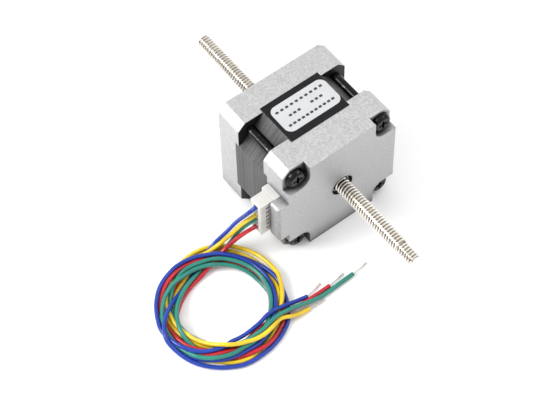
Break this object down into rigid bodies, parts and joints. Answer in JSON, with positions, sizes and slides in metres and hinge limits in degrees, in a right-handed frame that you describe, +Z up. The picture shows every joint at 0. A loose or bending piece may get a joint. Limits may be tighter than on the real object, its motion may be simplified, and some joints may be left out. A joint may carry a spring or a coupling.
{
  "type": "stepper motor with lead screw",
  "caption": "Square hybrid stepper motor with a rotating nut, a threaded screw that slides through it, a side connector and a loose coil of bare-ended wires.",
  "frame": {"origin": "centre of the mounting face, on the axis of the lead screw", "axes": "+Y out of the mounting face along the screw, +Z up to the label side, -X to the connector side"},
  "size_m": [0.0862, 0.101, 0.0391],
  "materials": {
    "front_cover": "bead-blasted die casting",
    "rear_cover": "bead-blasted die casting",
    "stator_core": "stacked electrical steel, bare edges",
    "insulator_front": "moulded nylon",
    "insulator_rear": "moulded nylon",
    "coils_phase_a": "enamelled copper wire",
    "coils_phase_b": "enamelled copper wire",
    "rating_label": "printed film",
    "through_screws": "black oxide steel",
    "front_bearing_outer_ring": "ground bearing steel",
    "front_bearing_inner_ring": "ground bearing steel",
    "front_bearing_balls": "ground bearing steel",
    "front_bearing_cage": "pressed sheet steel",
    "front_bearing_shields": "pressed sheet steel",
    "rear_bearing_outer_ring": "ground bearing steel",
    "rear_bearing_inner_ring": "ground bearing steel",
    "rear_bearing_balls": "ground bearing steel",
    "rear_bearing_cage": "pressed sheet steel",
    "rear_bearing_shields": "pressed sheet steel",
    "wave_washer": "pressed sheet steel",
    "rotor_sleeve": "turned steel",
    "lead_nut": "bronze",
    "rotor_cup_front": "stacked electrical steel",
    "rotor_cup_rear": "stacked electrical steel",
    "rotor_magnet": "nickel plated magnet",
    "lead_screw": "rolled stainless steel thread",
    "terminal_board": "solder-masked glass epoxy",
    "connector_header": "moulded nylon",
    "header_pins": "tin plated",
    "plug_housing": "moulded nylon",
    "crimp_contacts": "tin plated",
    "wire_blue_lead": "PVC insulation",
    "wire_yellow_lead": "PVC insulation",
    "wire_green_lead": "PVC insulation",
    "wire_red_lead": "PVC insulation",
    "wire_coil": "PVC insulation",
    "wire_blue_tail": "PVC insulation",
    "wire_yellow_tail": "PVC insulation",
    "wire_green_tail": "PVC insulation",
    "wire_red_tail": "PVC insulation",
    "bare_wire_ends": "tinned copper"
  },
  "bodies": {
    "housing": {"front_cover": "front_cover", "rear_cover": "rear_cover", "stator_core": "stator_core", "insulator_front": "insulator_front", "insulator_rear": "insulator_rear", "coils_phase_a": "coils_phase_a", "coils_phase_b": "coils_phase_b", "rating_label": "rating_label", "through_screws": "through_screws", "front_bearing_outer_ring": "front_bearing_outer_ring", "front_bearing_shields": "front_bearing_shields", "rear_bearing_outer_ring": "rear_bearing_outer_ring", "rear_bearing_shields": "rear_bearing_shields", "wave_washer": "wave_washer", "terminal_board": "terminal_board", "connector_header": "connector_header", "header_pins": "header_pins", "plug_housing": "plug_housing", "crimp_contacts": "crimp_contacts", "wire_blue_lead": "wire_blue_lead", "wire_yellow_lead": "wire_yellow_lead", "wire_green_lead": "wire_green_lead", "wire_red_lead": "wire_red_lead", "wire_coil": "wire_coil", "wire_blue_tail": "wire_blue_tail", "wire_yellow_tail": "wire_yellow_tail", "wire_green_tail": "wire_green_tail", "wire_red_tail": "wire_red_tail", "bare_wire_ends": "bare_wire_ends"},
    "rotor": {"rotor_sleeve": "rotor_sleeve", "lead_nut": "lead_nut", "rotor_cup_front": "rotor_cup_front", "rotor_cup_rear": "rotor_cup_rear", "rotor_magnet": "rotor_magnet", "front_bearing_inner_ring": "front_bearing_inner_ring", "rear_bearing_inner_ring": "rear_bearing_inner_ring"},
    "front_balls": {"front_bearing_balls": "front_bearing_balls", "front_bearing_cage": "front_bearing_cage"},
    "rear_balls": {"rear_bearing_balls": "rear_bearing_balls", "rear_bearing_cage": "rear_bearing_cage"},
    "screw": {"lead_screw": "lead_screw"}
  },
  "joints": [
    {"name": "rotor_spin", "type": "hinge", "parent": "housing", "child": "rotor", "pos_m": [0, 0, 0], "axis": [0, 1, 0], "range_deg": [-10080, 10080]},
    {"name": "screw_slide", "type": "slide", "parent": "housing", "child": "screw", "axis": [0, 1, 0], "range_m": [-0.0288, 0.0288]},
    {"name": "front_balls_spin", "type": "hinge", "parent": "housing", "child": "front_balls", "pos_m": [0, -0.0025, 0], "axis": [0, 1, 0], "range_deg": [-4200, 4200]},
    {"name": "rear_balls_spin", "type": "hinge", "parent": "housing", "child": "rear_balls", "pos_m": [0, -0.0289, 0], "axis": [0, 1, 0], "range_deg": [-4200, 4200]}
  ],
  "couplings": [
    {"joint": "screw_slide", "follows": "rotor_spin", "m_per_rad": -0.00016234},
    {"joint": "front_balls_spin", "follows": "rotor_spin", "ratio": 0.40833},
    {"joint": "rear_balls_spin", "follows": "rotor_spin", "ratio": 0.40833}
  ]
}
